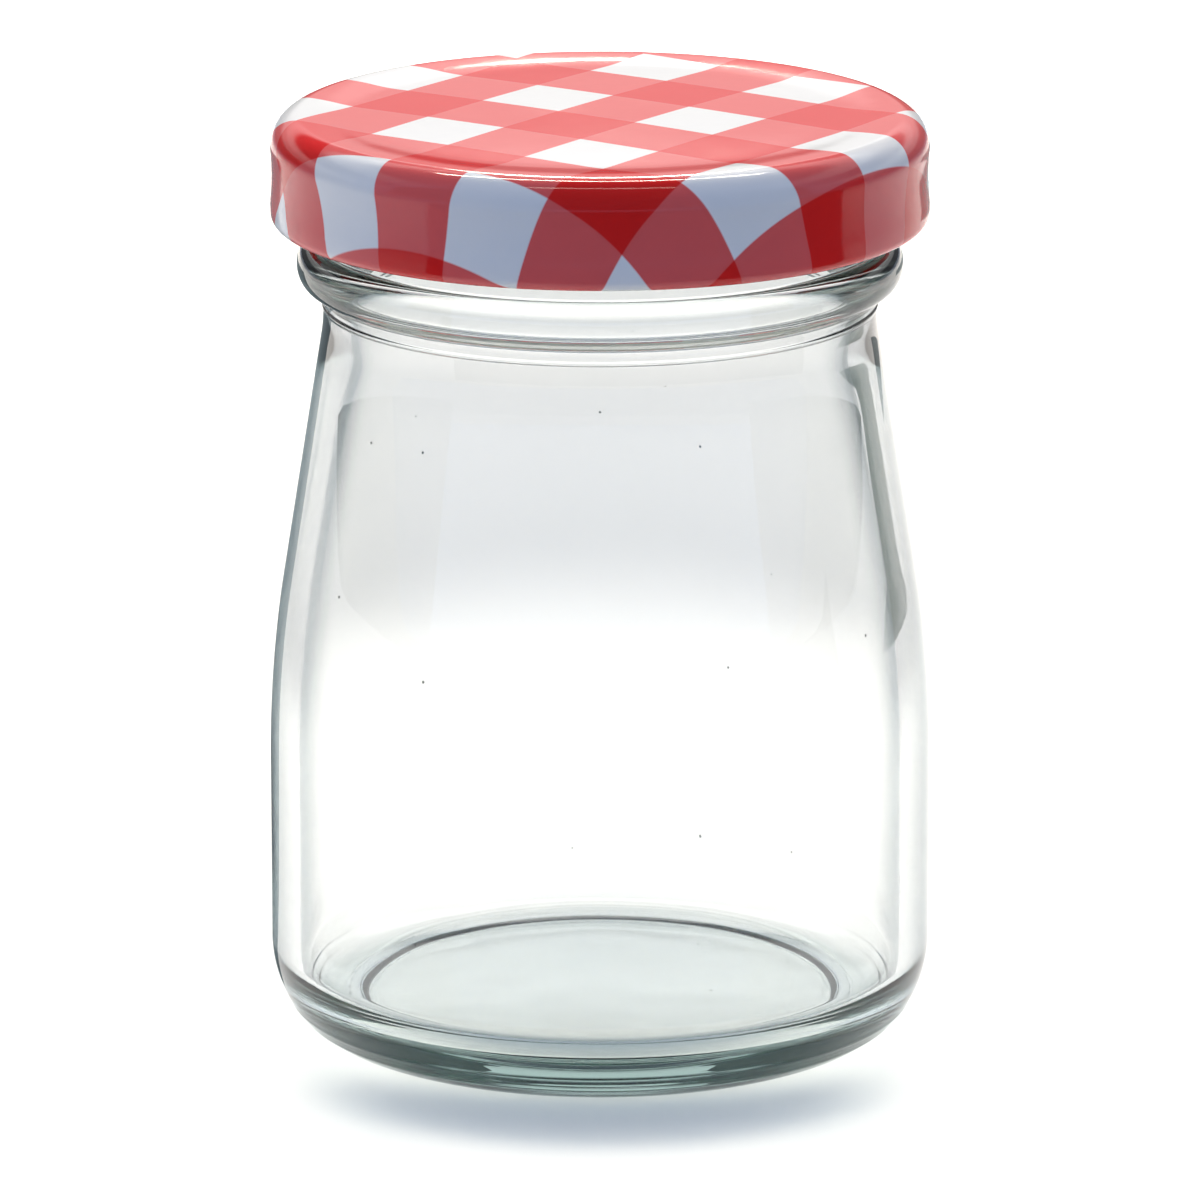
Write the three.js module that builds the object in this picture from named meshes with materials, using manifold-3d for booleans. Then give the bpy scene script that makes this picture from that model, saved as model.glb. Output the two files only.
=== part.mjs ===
// A small clear glass jar with a twist-off lid of printed tinplate, closed and empty.
// Millimetres, +Z up. The origin is the centre of the ring that the jar stands on.

import * as THREE from 'three';
import { mergeVertices } from 'three/addons/utils/BufferGeometryUtils.js';
import Module from 'manifold-3d';

// Driving dimensions of the glass
const BODY_RADIUS = 28.35; // straight lower part of the body
const BODY_TOP = 24.0; // height where the straight part starts to lean in
const LEAN_TOP = 40.0; // height where the bend ends and the straight cone starts
const CONE_ANGLE = THREE.MathUtils.degToRad(9.0); // half angle of the cone up to the neck
const NECK_RADIUS = 23.6;
const NECK_HEIGHT = 62.5; // narrowest place, under the bead
const NECK_BEND = 2.0; // height over which the cone turns upright at the neck
const NECK_FILLET = 0.9; // hollow rounding between neck and bead
const BEAD_RADIUS = 25.8;
const BEAD_HEIGHT = 67.2; // middle of the bead
const BEAD_REACH = 1.3; // how far the bead's round part stands out
const BEAD_FOOT = 65.3; // underside of the bead
const FINISH_RADIUS = 24.3; // upright wall that carries the thread
const FINISH_FOOT = 69.2; // where that wall starts, above the bead
const LIP_TOP = 78.7;
const LIP_ROUND = 0.9; // rounding of the lip, outside and inside
const BORE_RADIUS = 21.2;
const WALL = 2.5; // glass thickness of the body
const FOOT_OUTER = 22.5; // outer edge of the flat ring the jar stands on
const FOOT_INNER = 20.9;
const HEEL_HEIGHT = 8.0;
const PUSH_UP = 1.3; // how far the middle of the underside is raised
const PUSH_UP_EDGE = 0.5; // step just inside the foot ring
const FLOOR_HEIGHT = 4.0; // inside floor above the ground
const FLOOR_RADIUS = 20.6;
const FLOOR_CROWN = 0.4; // rise of the floor's middle
const INNER_HEEL = 3.3; // height of the rounding between floor and wall

// Driving dimensions of the lid
const LID_TOP = 80.0; // top of the raised rim, and of the panel's middle
const LID_RADIUS = 28.0;
const LID_BOTTOM = 70.8;
const SHEET = 0.3; // tinplate thickness
const PANEL_DROP = 0.2; // how far the bowed panel's edge lies below the rim
const PANEL_RADIUS = 20.4;
const RIM_RADIUS = 23.4; // where the rise from the panel reaches the rim
const SHOULDER_ROUND = 2.6;
const SKIRT_WAIST = 0.12; // slight hollow of the skirt
const HEM_HEIGHT = 1.9;
const HEM_WIDTH = 1.7;
const COMPOUND_INNER = 20.6; // flowed-in sealing ring under the panel's edge
const COMPOUND_OUTER = 24.4;
const COMPOUND_BOTTOM = 79.02;

// Lugs of the lid and the short thread ridges of the glass that hold them
const HOLDS = 4;
const LUG_WIDTH = THREE.MathUtils.degToRad(26);
const LUG_INNER = 24.95;
const LUG_BOTTOM = 71.1;
const LUG_TOP = 72.3;
const RIDGE_WIDTH = THREE.MathUtils.degToRad(62);
const RIDGE_LEAD = THREE.MathUtils.degToRad(20); // how far a ridge's middle is past its lug
const RIDGE_RADIUS = 25.6;
const RIDGE_THICKNESS = 1.7;
const RIDGE_FOOT = 73.6; // underside at the ridge's middle
const RIDGE_RISE = 1.9; // climb from end to end
const RIDGE_FADE = 0.34; // share of the width, out from the middle, where a ridge starts to sink
const RIDGE_END = 0.25; // share of its reach that a ridge keeps at its ends

// Fineness
const TURNS = 60; // sides of a round piece
const MERGE = 1e-4;

const wasm = await Module();
wasm.setup();

// Points of an elliptical arc in the section plane, radius across and height up.
function arc(centreX, centreY, radiusX, radiusY, fromDegrees, toDegrees, steps) {
  const points = [];
  for (let step = 0; step <= steps; step += 1) {
    const angle = THREE.MathUtils.degToRad(THREE.MathUtils.lerp(fromDegrees, toDegrees, step / steps));
    points.push(new THREE.Vector2(
      centreX + radiusX * Math.cos(angle),
      centreY + radiusY * Math.sin(angle),
    ));
  }
  return points;
}

// Points of a shallow round bow, from its middle on the axis out to its edge.
function bow(edgeRadius, middleHeight, drop, steps) {
  const radius = (edgeRadius ** 2 + drop ** 2) / (2 * drop);
  const degrees = THREE.MathUtils.radToDeg(Math.asin(edgeRadius / radius));
  return arc(0, middleHeight - radius, radius, radius, 90, 90 - degrees, steps);
}

// Points of a smooth rise from one place to the next, level at both ends.
function levelRise(from, to, steps) {
  const points = [];
  for (let step = 0; step <= steps; step += 1) {
    const share = step / steps;
    points.push(new THREE.Vector2(
      THREE.MathUtils.lerp(from.x, to.x, share),
      THREE.MathUtils.lerp(from.y, to.y, THREE.MathUtils.smoothstep(share, 0, 1)),
    ));
  }
  return points;
}

function at(radius, height) {
  return new THREE.Vector2(radius, height);
}

// Drops a point that repeats the one before it.
function joined(...runs) {
  return runs.flat().filter((point, index, all) => index === 0 || point.distanceTo(all[index - 1]) > MERGE);
}

function turned(section) {
  return new THREE.LatheGeometry(section, TURNS).rotateX(Math.PI / 2);
}

// A closed solid of a geometry, with its shared corners merged and its empty triangles left out.
function solidOf(geometry) {
  const bare = geometry.clone();
  bare.deleteAttribute('normal');
  bare.deleteAttribute('uv');
  const merged = mergeVertices(bare, MERGE);
  const corners = merged.index.array;
  const kept = [];
  for (let first = 0; first < corners.length; first += 3) {
    const [a, b, c] = corners.slice(first, first + 3);
    if (a !== b && b !== c && c !== a) kept.push(a, b, c);
  }
  return new wasm.Manifold(new wasm.Mesh({
    numProp: 3,
    vertProperties: new Float32Array(merged.attributes.position.array),
    triVerts: new Uint32Array(kept),
  }));
}

function geometryOf(solid) {
  const mesh = solid.getMesh();
  const geometry = new THREE.BufferGeometry();
  geometry.setAttribute('position', new THREE.BufferAttribute(mesh.vertProperties, 3));
  geometry.setIndex(new THREE.BufferAttribute(mesh.triVerts, 1));
  return geometry;
}

// A stretch of a ring: the part of a turned section inside a wedge about one direction.
function ringStretch(section, direction, width) {
  const reach = 2 * BODY_RADIUS;
  const wedge = new THREE.Shape();
  wedge.moveTo(0, 0);
  wedge.lineTo(reach * Math.cos(direction - width / 2), reach * Math.sin(direction - width / 2));
  wedge.lineTo(reach * Math.cos(direction + width / 2), reach * Math.sin(direction + width / 2));
  wedge.closePath();
  const slice = new THREE.ExtrudeGeometry(wedge, { depth: 2 * LID_TOP, bevelEnabled: false });
  return solidOf(turned(section)).intersect(solidOf(slice));
}

// A thread ridge climbs from end to end and sinks into the wall at both ends.
function threadRidge(direction) {
  const root = FINISH_RADIUS - WALL / 4;
  const top = RIDGE_FOOT + RIDGE_THICKNESS;
  const blunt = RIDGE_THICKNESS / 4;
  const section = [
    at(root, RIDGE_FOOT - blunt),
    at(RIDGE_RADIUS, RIDGE_FOOT + blunt),
    at(RIDGE_RADIUS, top - blunt),
    at(root, top + blunt),
    at(root, RIDGE_FOOT - blunt),
  ];
  const geometry = geometryOf(ringStretch(section, direction, RIDGE_WIDTH));
  const place = geometry.attributes.position;
  for (let corner = 0; corner < place.count; corner += 1) {
    const x = place.getX(corner);
    const y = place.getY(corner);
    const radius = Math.hypot(x, y);
    const turn = Math.atan2(Math.sin(Math.atan2(y, x) - direction), Math.cos(Math.atan2(y, x) - direction));
    const share = turn / RIDGE_WIDTH;
    const fade = 1 - THREE.MathUtils.smoothstep(Math.abs(share), RIDGE_FADE, 0.5);
    const sunk = root + (radius - root) * THREE.MathUtils.lerp(RIDGE_END, 1, fade);
    place.setXYZ(corner, x * sunk / radius, y * sunk / radius, place.getZ(corner) + RIDGE_RISE * share);
  }
  return solidOf(geometry);
}

function lug(direction) {
  const outer = LID_RADIUS - HEM_WIDTH / 2;
  const section = [
    at(LUG_INNER, LUG_BOTTOM),
    at(outer, LUG_BOTTOM),
    at(outer, LUG_TOP),
    at(LUG_INNER, LUG_TOP),
    at(LUG_INNER, LUG_BOTTOM),
  ];
  return ringStretch(section, direction, LUG_WIDTH);
}

// Body's outside from the foot ring up to the lip
function glassOutside() {
  const bendRadius = (LEAN_TOP - BODY_TOP) / Math.sin(CONE_ANGLE);
  const coneDegrees = THREE.MathUtils.radToDeg(CONE_ANGLE);
  const leanRadius = BODY_RADIUS - bendRadius * (1 - Math.cos(CONE_ANGLE));
  const coneTop = NECK_HEIGHT - NECK_BEND;
  const coneRadius = leanRadius - (coneTop - LEAN_TOP) * Math.tan(CONE_ANGLE);
  const beadAxis = BEAD_RADIUS - BEAD_REACH;
  return joined(
    bow(FOOT_INNER - PUSH_UP_EDGE, PUSH_UP, PUSH_UP - PUSH_UP_EDGE, 3),
    [at(FOOT_INNER, 0)],
    arc(FOOT_OUTER, HEEL_HEIGHT, BODY_RADIUS - FOOT_OUTER, HEEL_HEIGHT, -90, 0, 8),
    arc(BODY_RADIUS - bendRadius, BODY_TOP, bendRadius, bendRadius, 0, coneDegrees, 5),
    [at(coneRadius, coneTop), at(NECK_RADIUS, NECK_HEIGHT)],
    arc(NECK_RADIUS + NECK_FILLET, BEAD_FOOT - NECK_FILLET, NECK_FILLET, NECK_FILLET, 180, 90, 3),
    arc(beadAxis, BEAD_HEIGHT, BEAD_REACH, BEAD_HEIGHT - BEAD_FOOT, -90, 0, 4),
    arc(beadAxis, BEAD_HEIGHT, BEAD_REACH, FINISH_FOOT - BEAD_HEIGHT, 0, 90, 4),
    [at(FINISH_RADIUS, FINISH_FOOT)],
    arc(FINISH_RADIUS - LIP_ROUND, LIP_TOP - LIP_ROUND, LIP_ROUND, LIP_ROUND, 0, 90, 3),
  );
}

// The inside from the lip down to the floor's middle
function glassInside() {
  const leanRadius = BODY_RADIUS - (LEAN_TOP - BODY_TOP) * Math.tan(CONE_ANGLE / 2);
  const wallRadius = BODY_RADIUS - WALL;
  return joined(
    arc(BORE_RADIUS + LIP_ROUND, LIP_TOP - LIP_ROUND, LIP_ROUND, LIP_ROUND, 90, 180, 3),
    [at(BORE_RADIUS, NECK_HEIGHT - NECK_BEND)],
    [at(leanRadius - WALL, LEAN_TOP)],
    [at(wallRadius - WALL / 10, (BODY_TOP + LEAN_TOP) / 2), at(wallRadius, BODY_TOP)],
    arc(FLOOR_RADIUS, FLOOR_HEIGHT + INNER_HEEL, wallRadius - FLOOR_RADIUS, INNER_HEEL, 0, -90, 6),
    bow(FLOOR_RADIUS, FLOOR_HEIGHT + FLOOR_CROWN, FLOOR_CROWN, 3).reverse(),
  );
}

function glassJar() {
  let glass = solidOf(turned(joined(glassOutside(), glassInside())));
  for (let hold = 0; hold < HOLDS; hold += 1) {
    glass = glass.add(threadRidge(holdDirection(hold) + RIDGE_LEAD));
  }
  return geometryOf(glass);
}

function holdDirection(hold) {
  return (hold + 0.5) * 2 * Math.PI / HOLDS;
}

// The pressed cap: bowed panel, raised rim, round shoulder, skirt and rolled hem
function lidSection() {
  const panelEdge = LID_TOP - PANEL_DROP;
  const shoulder = LID_RADIUS - SHOULDER_ROUND;
  const skirtTop = LID_TOP - SHOULDER_ROUND;
  const hemTop = LID_BOTTOM + HEM_HEIGHT;
  const waist = (skirtTop + hemTop) / 2;
  const hemMiddle = LID_BOTTOM + HEM_HEIGHT / 2;
  const hemAxis = LID_RADIUS - HEM_WIDTH / 2;
  const innerRound = SHOULDER_ROUND - SHEET;
  const under = [
    arc(shoulder, skirtTop, innerRound, innerRound, 0, 90, 4),
    [at(COMPOUND_OUTER + SHEET, LID_TOP - SHEET), at(COMPOUND_OUTER, COMPOUND_BOTTOM)],
    [at(COMPOUND_INNER, COMPOUND_BOTTOM), at(COMPOUND_INNER - SHEET, panelEdge - SHEET)],
    [at(0, LID_TOP - SHEET)],
  ];
  const over = [
    bow(PANEL_RADIUS, LID_TOP, PANEL_DROP, 3),
    levelRise(at(PANEL_RADIUS, panelEdge), at(RIM_RADIUS, LID_TOP), 4),
    arc(shoulder, skirtTop, SHOULDER_ROUND, SHOULDER_ROUND, 90, 0, 6),
    [at(LID_RADIUS - SKIRT_WAIST, waist)],
    arc(hemAxis, hemMiddle, HEM_WIDTH / 2, HEM_HEIGHT / 2, 0, -180, 8),
    [at(LID_RADIUS - HEM_WIDTH, hemTop - SHEET), at(LID_RADIUS - 2 * SHEET, hemTop)],
    [at(LID_RADIUS - SKIRT_WAIST - SHEET, waist)],
  ];
  return joined(...over, ...under).reverse();
}

function twistLid() {
  let cap = solidOf(turned(lidSection()));
  for (let hold = 0; hold < HOLDS; hold += 1) {
    cap = cap.add(lug(holdDirection(hold)));
  }
  return geometryOf(cap);
}

const glassFinish = new THREE.MeshStandardMaterial({ color: 0xe4ece9, roughness: 0.05, metalness: 0 });
const lidFinish = new THREE.MeshStandardMaterial({ color: 0xd24a4f, roughness: 0.3, metalness: 0 });

const jar = new THREE.Mesh(glassJar(), glassFinish);
jar.name = 'jar';
const lid = new THREE.Mesh(twistLid(), lidFinish);
lid.name = 'lid';

const closedJar = new THREE.Group();
closedJar.add(jar, lid);

export default closedJar;
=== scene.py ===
# %% [markdown]
# # A small glass jar with a checked lid
# The jar is one piece of clear glass, and its lid is one pressed piece of printed tinplate.
# Both are round about the same upright axis, so each is drawn once as a section and then turned,
# as a potter turns a bowl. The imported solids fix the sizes, and this lesson adds the fine surface.

# %% Load the frame
import math

import bmesh
import bpy
from mathutils import Matrix, Vector


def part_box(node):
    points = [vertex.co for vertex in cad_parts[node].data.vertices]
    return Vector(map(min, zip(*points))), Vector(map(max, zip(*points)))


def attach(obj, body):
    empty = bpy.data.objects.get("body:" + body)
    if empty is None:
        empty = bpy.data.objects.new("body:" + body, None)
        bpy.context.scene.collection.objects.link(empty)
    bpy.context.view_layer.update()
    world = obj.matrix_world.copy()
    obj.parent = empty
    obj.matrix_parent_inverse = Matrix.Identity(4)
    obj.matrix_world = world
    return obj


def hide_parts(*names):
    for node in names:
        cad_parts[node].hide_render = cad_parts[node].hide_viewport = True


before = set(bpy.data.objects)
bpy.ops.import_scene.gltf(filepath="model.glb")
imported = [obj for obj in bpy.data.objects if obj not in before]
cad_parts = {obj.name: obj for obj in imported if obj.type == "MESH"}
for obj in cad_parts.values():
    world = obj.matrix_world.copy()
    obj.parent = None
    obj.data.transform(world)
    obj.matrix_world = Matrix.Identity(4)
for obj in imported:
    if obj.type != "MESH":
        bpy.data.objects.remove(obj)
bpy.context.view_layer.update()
jar_low, jar_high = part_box("jar")
lid_low, lid_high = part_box("lid")
print("jar", jar_low, jar_high)
print("lid", lid_low, lid_high)

# %% [markdown]
# ## A pen for sections
# A section could be a long list of points, but then nobody can see which stretch is the heel and
# which is the neck. Here a small pen draws it with Blender's own operators: it extrudes a vertex
# for a straight stretch, and spins a vertex about a centre for a round one. Afterwards the whole
# wire is spun about the upright axis. Sections are drawn in millimetres and made metres at the end.

# %% The section pen
MM = 0.001
NO_DRIFT = (0.0, 0.0, 0.0)
SAME_PLACE = 0.0001


class Section:
    """A wire in the XZ plane: the radius goes across and the height goes up, in millimetres."""

    def __init__(self, radius, height, layers=()):
        self.mesh = bmesh.new()
        for layer in layers:
            self.mesh.verts.layers.float.new(layer)
        self.pen = bmesh.ops.create_vert(self.mesh, co=(radius, 0.0, height))["vert"][0]
        self.path = [self.pen]

    def line(self, radius, height, steps=1):
        """Extrude the pen's vertex along a straight stretch."""
        start = self.pen.co.copy()
        end = Vector((radius, 0.0, height))
        for step in range(1, steps + 1):
            self.pen = bmesh.ops.extrude_vert_indiv(self.mesh, verts=[self.pen])["verts"][0]
            self.pen.co = start.lerp(end, step / steps)
            self.path.append(self.pen)
        return self

    def arc(self, centre_radius, centre_height, degrees, steps, tall=1.0):
        """Spin the pen's vertex about a centre; tall stretches the circle into an ellipse."""
        centre = Vector((centre_radius, 0.0, centre_height))
        first = self.pen
        first.co.z = centre.z + (first.co.z - centre.z) / tall
        known = set(self.mesh.verts)
        bmesh.ops.spin(
            self.mesh, geom=[first], cent=centre, axis=(0.0, -1.0, 0.0), dvec=NO_DRIFT,
            angle=math.radians(degrees), steps=steps, use_merge=False, use_duplicate=False,
        )
        drawn = [vert for vert in self.mesh.verts if vert not in known]
        bmesh.ops.scale(
            self.mesh, vec=(1.0, 1.0, tall), space=Matrix.Translation(-centre), verts=[first] + drawn,
        )
        self.path += drawn
        self.pen = drawn[-1]
        return self

    def turned(self, sides):
        """Spin the wire a full turn, close the seam and the poles, and point the faces outwards."""
        wire = self.mesh.verts[:] + self.mesh.edges[:]
        bmesh.ops.spin(
            self.mesh, geom=wire, cent=NO_DRIFT, axis=(0.0, 0.0, 1.0), dvec=NO_DRIFT,
            angle=2 * math.pi, steps=sides, use_merge=True, use_duplicate=False,
        )
        bmesh.ops.remove_doubles(self.mesh, verts=self.mesh.verts, dist=SAME_PLACE)
        bmesh.ops.recalc_face_normals(self.mesh, faces=self.mesh.faces)
        return self.mesh


def as_piece(mesh, name, node):
    """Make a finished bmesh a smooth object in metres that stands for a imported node."""
    bmesh.ops.scale(mesh, vec=(MM, MM, MM), verts=mesh.verts)
    data = bpy.data.meshes.new(name)
    mesh.to_mesh(data)
    mesh.free()
    data.shade_smooth()
    piece = bpy.data.objects.new(name, data)
    bpy.context.scene.collection.objects.link(piece)
    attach(piece, "root")
    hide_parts(node)
    print(name, len(data.polygons), "faces")
    return piece


print("the pen draws with", MM, "m to a unit")

# %% [markdown]
# ## The jar's outside
# A jar like this is blown into a two-part mould: thick at the heel, straight up the body, then
# leaning in to a neck with a round bead below the lid. The heel is a quarter ellipse and the lean is
# one long arc that runs into a cone, because the glass flows and leaves no corner. A fine raised
# line stays on the neck where the mould's ring met its body, and it catches the light.

# %% Draw the foot, heel and body
BODY_RADIUS = jar_high.x / MM
FOOT_INNER, FOOT_OUTER = 20.9, 22.5
PUSH_UP, PUSH_UP_EDGE, PUSH_UP_STEP = 0.8, 0.5, 0.4
HEEL_HEIGHT = 8.0
BODY_TOP, LEAN_TOP = 24.0, 40.0
CONE_DEGREES = 9.0

dome_reach = FOOT_INNER - PUSH_UP_STEP
dome_rise = PUSH_UP - PUSH_UP_EDGE
dome_radius = (dome_reach ** 2 + dome_rise ** 2) / (2 * dome_rise)
dome_degrees = math.degrees(math.asin(dome_reach / dome_radius))
heel_reach = BODY_RADIUS - FOOT_OUTER
lean_radius = (LEAN_TOP - BODY_TOP) / math.sin(math.radians(CONE_DEGREES))

glass = Section(0.0, PUSH_UP)
glass.arc(0.0, PUSH_UP - dome_radius, -dome_degrees, steps=14)
glass.line(FOOT_INNER, 0.0, steps=3)
glass.line(FOOT_OUTER, 0.0, steps=4)
glass.arc(FOOT_OUTER, HEEL_HEIGHT, 90, steps=72, tall=HEEL_HEIGHT / heel_reach)
glass.line(BODY_RADIUS, BODY_TOP, steps=12)
glass.arc(BODY_RADIUS - lean_radius, BODY_TOP, CONE_DEGREES, steps=14)
print("body drawn up to radius", glass.pen.co.x, "height", glass.pen.co.z)

# %% Draw the neck, bead and mouth
NECK_RADIUS, NECK_BEND_RADIUS = 23.6, 12.8
SEAM_HEIGHT, SEAM_RISE, SEAM_HALF = 63.7, 0.09, 0.16
NECK_FILLET = 0.9
BEAD_AXIS, BEAD_REACH = 24.5, 1.3
BEAD_FOOT, BEAD_HEIGHT, FINISH_FOOT = 65.3, 67.2, 69.2
FINISH_RADIUS = 24.3
LIP_TOP, LIP_ROUND = jar_high.z / MM, 0.9

lean = math.radians(CONE_DEGREES)
cone_end = NECK_RADIUS + NECK_BEND_RADIUS * (1 - math.cos(lean))
cone_top = glass.pen.co.z + (glass.pen.co.x - cone_end) / math.tan(lean)
neck_start = cone_top + NECK_BEND_RADIUS * math.sin(lean)
glass.line(cone_end, cone_top, steps=18)
glass.arc(NECK_RADIUS + NECK_BEND_RADIUS, neck_start, -CONE_DEGREES, steps=5)
glass.line(NECK_RADIUS, SEAM_HEIGHT - SEAM_HALF, steps=3)
glass.arc(NECK_RADIUS, SEAM_HEIGHT, 180, steps=8, tall=SEAM_HALF / SEAM_RISE)
glass.line(NECK_RADIUS, BEAD_FOOT - NECK_FILLET, steps=3)
glass.arc(NECK_RADIUS + NECK_FILLET, BEAD_FOOT - NECK_FILLET, -90, steps=10)
glass.arc(BEAD_AXIS, BEAD_HEIGHT, 90, steps=14, tall=(BEAD_HEIGHT - BEAD_FOOT) / BEAD_REACH)
glass.arc(BEAD_AXIS, BEAD_HEIGHT, 90, steps=14, tall=(FINISH_FOOT - BEAD_HEIGHT) / BEAD_REACH)
glass.line(FINISH_RADIUS, FINISH_FOOT, steps=1)
glass.line(FINISH_RADIUS, LIP_TOP - LIP_ROUND, steps=28)
glass.arc(FINISH_RADIUS - LIP_ROUND, LIP_TOP - LIP_ROUND, 90, steps=8)
print("neck starts at", neck_start, "and the lip is at", glass.pen.co.z)

# %% [markdown]
# ## The jar's inside
# The inside is not a copy of the outside: blown glass is thinner at the shoulder and pools at the
# bottom, so the floor is thick and its corner is a wide round. That thickness is what draws the
# dark rings at the base. The section ends on the axis, so the turned shell closes on itself.

# %% Draw the inside and turn the glass
WALL = 2.5
BORE_RADIUS = 21.2
INNER_LEAN_DEGREES = 9.65
INNER_NECK_BEND, INNER_NECK_TOP = 40.0, 63.15
FLOOR_RADIUS, FLOOR_HEIGHT, FLOOR_CROWN = 20.6, 4.0, 0.4
INNER_HEEL = 3.3
GLASS_SIDES = 224

inner_wall = BODY_RADIUS - WALL
inner_lean = math.radians(INNER_LEAN_DEGREES)
inner_lean_radius = lean_radius - WALL
inner_lean_start = inner_wall - inner_lean_radius * (1 - math.cos(inner_lean))
inner_lean_top = BODY_TOP + inner_lean_radius * math.sin(inner_lean)
crown_radius = (FLOOR_RADIUS ** 2 + FLOOR_CROWN ** 2) / (2 * FLOOR_CROWN)
crown_degrees = math.degrees(math.asin(FLOOR_RADIUS / crown_radius))

glass.line(BORE_RADIUS + LIP_ROUND, LIP_TOP, steps=3)
glass.arc(BORE_RADIUS + LIP_ROUND, LIP_TOP - LIP_ROUND, 90, steps=8)
glass.line(BORE_RADIUS, INNER_NECK_TOP, steps=14)
glass.arc(BORE_RADIUS + INNER_NECK_BEND, INNER_NECK_TOP, INNER_LEAN_DEGREES, steps=6)
glass.line(inner_lean_start, inner_lean_top, steps=16)
glass.arc(inner_wall - inner_lean_radius, BODY_TOP, -INNER_LEAN_DEGREES, steps=14)
glass.line(inner_wall, FLOOR_HEIGHT + INNER_HEEL, steps=12)
glass.arc(FLOOR_RADIUS, FLOOR_HEIGHT + INNER_HEEL, -90, steps=28,
          tall=INNER_HEEL / (inner_wall - FLOOR_RADIUS))
glass.arc(0.0, FLOOR_HEIGHT + FLOOR_CROWN - crown_radius, crown_degrees, steps=10)
glass_mesh = glass.turned(GLASS_SIDES)
print("glass turned with", len(glass_mesh.verts), "vertices")

# %% [markdown]
# ## Mould seams and thread ridges
# Two faint seams run round the heel, where the plate under the mould met its halves. A twist-off lid
# holds by short lugs pinched in its hem that slide under slanting ridges on the neck. All of these
# could be separate bodies joined by a Boolean, but a ridge that melts into the wall is easier to press
# out of the turned surface: each vertex of the wall moves by how near it lies to a ridge's middle.

# %% Press two seams out of the heel
HEEL_SEAMS = (1.35, 2.55)
HEEL_SEAM_RISE, HEEL_SEAM_HALF = 0.07, 0.42
FOOT_MARGIN = 0.1


def eased(share):
    """A smooth step from 0 to 1."""
    share = min(max(share, 0.0), 1.0)
    return share * share * (3 - 2 * share)


def move_out(vert, reach):
    """Move a vertex away from the axis, or towards it where the reach is negative."""
    stretch = 1 + reach / math.hypot(vert.co.x, vert.co.y)
    vert.co.x *= stretch
    vert.co.y *= stretch


seam_verts = 0
for vert in glass_mesh.verts:
    radius = math.hypot(vert.co.x, vert.co.y)
    if radius > FOOT_OUTER + FOOT_MARGIN and vert.co.z < FLOOR_HEIGHT:
        seam = max(eased(1 - abs(vert.co.z - height) / HEEL_SEAM_HALF) for height in HEEL_SEAMS)
        move_out(vert, HEEL_SEAM_RISE * seam)
        seam_verts += seam > 0
print("seam vertices moved:", seam_verts)

# %% Press the thread ridges out of the neck
HOLDS = 4
HOLD_DIRECTIONS = [(hold + 0.5) * 2 * math.pi / HOLDS for hold in range(HOLDS)]
RIDGE_WIDTH, RIDGE_LEAD = math.radians(62), math.radians(20)
RIDGE_REACH, RIDGE_MIDDLE, RIDGE_RISE, RIDGE_HALF = 1.25, 74.4, 1.9, 1.2
RIDGE_END_SLOPE = 6
ON_THE_WALL = 0.01


def turn_between(angle, direction):
    """The signed turn from a direction to an angle, at most half a turn."""
    return math.atan2(math.sin(angle - direction), math.cos(angle - direction))


def ridge_height(angle, height):
    """How far the wall stands out at one place of the neck."""
    best = 0.0
    for direction in HOLD_DIRECTIONS:
        share = turn_between(angle, direction + RIDGE_LEAD) / RIDGE_WIDTH
        ends = eased((0.5 - abs(share)) * RIDGE_END_SLOPE)
        flank = eased(1 - abs(height - RIDGE_MIDDLE - RIDGE_RISE * share) / RIDGE_HALF)
        best = max(best, RIDGE_REACH * ends * flank)
    return best


ridge_verts = 0
for vert in glass_mesh.verts:
    radius = math.hypot(vert.co.x, vert.co.y)
    if abs(radius - FINISH_RADIUS) < ON_THE_WALL and vert.co.z > FINISH_FOOT:
        reach = ridge_height(math.atan2(vert.co.y, vert.co.x), vert.co.z)
        move_out(vert, reach)
        ridge_verts += reach > 0
print("thread vertices moved:", ridge_verts)
jar_glass = as_piece(glass_mesh, "jar_glass", "jar")

# %% [markdown]
# ## The lid
# The lid is stamped from one flat printed disc: a faintly bowed panel, a raised rim round it, a round
# shoulder, a skirt, and a hem rolled inwards so that no raw edge shows. The underside is lacquered and
# carries a poured sealing ring. The section runs over the printed side first, because that stretch is
# what the print is measured along.

# %% Draw the printed side of the lid
LID_RADIUS, LID_TOP, LID_BOTTOM = lid_high.x / MM, lid_high.z / MM, lid_low.z / MM
PANEL_RADIUS, PANEL_DROP, RIM_RADIUS = 20.4, 0.2, 25.2
SHOULDER_ROUND = 2.6
SKIRT_WAIST = 0.12
HEM_WIDTH, HEM_HEIGHT = 1.7, 1.9

panel_edge = LID_TOP - PANEL_DROP
panel_bow = (PANEL_RADIUS ** 2 + PANEL_DROP ** 2) / (2 * PANEL_DROP)
panel_degrees = math.degrees(math.asin(PANEL_RADIUS / panel_bow))
rise_run = (RIM_RADIUS - PANEL_RADIUS) / 2
rise_turn = 2 * math.atan(PANEL_DROP / 2 / rise_run)
rise_radius = rise_run / math.sin(rise_turn)
shoulder = LID_RADIUS - SHOULDER_ROUND
skirt_top, hem_top = LID_TOP - SHOULDER_ROUND, LID_BOTTOM + HEM_HEIGHT
skirt_half = (skirt_top - hem_top) / 2
waist_radius = (skirt_half ** 2 + SKIRT_WAIST ** 2) / (2 * SKIRT_WAIST)
waist_turn = 2 * math.degrees(math.asin(skirt_half / waist_radius))
hem_middle = LID_BOTTOM + HEM_HEIGHT / 2
hem_axis = LID_RADIUS - HEM_WIDTH / 2

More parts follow.
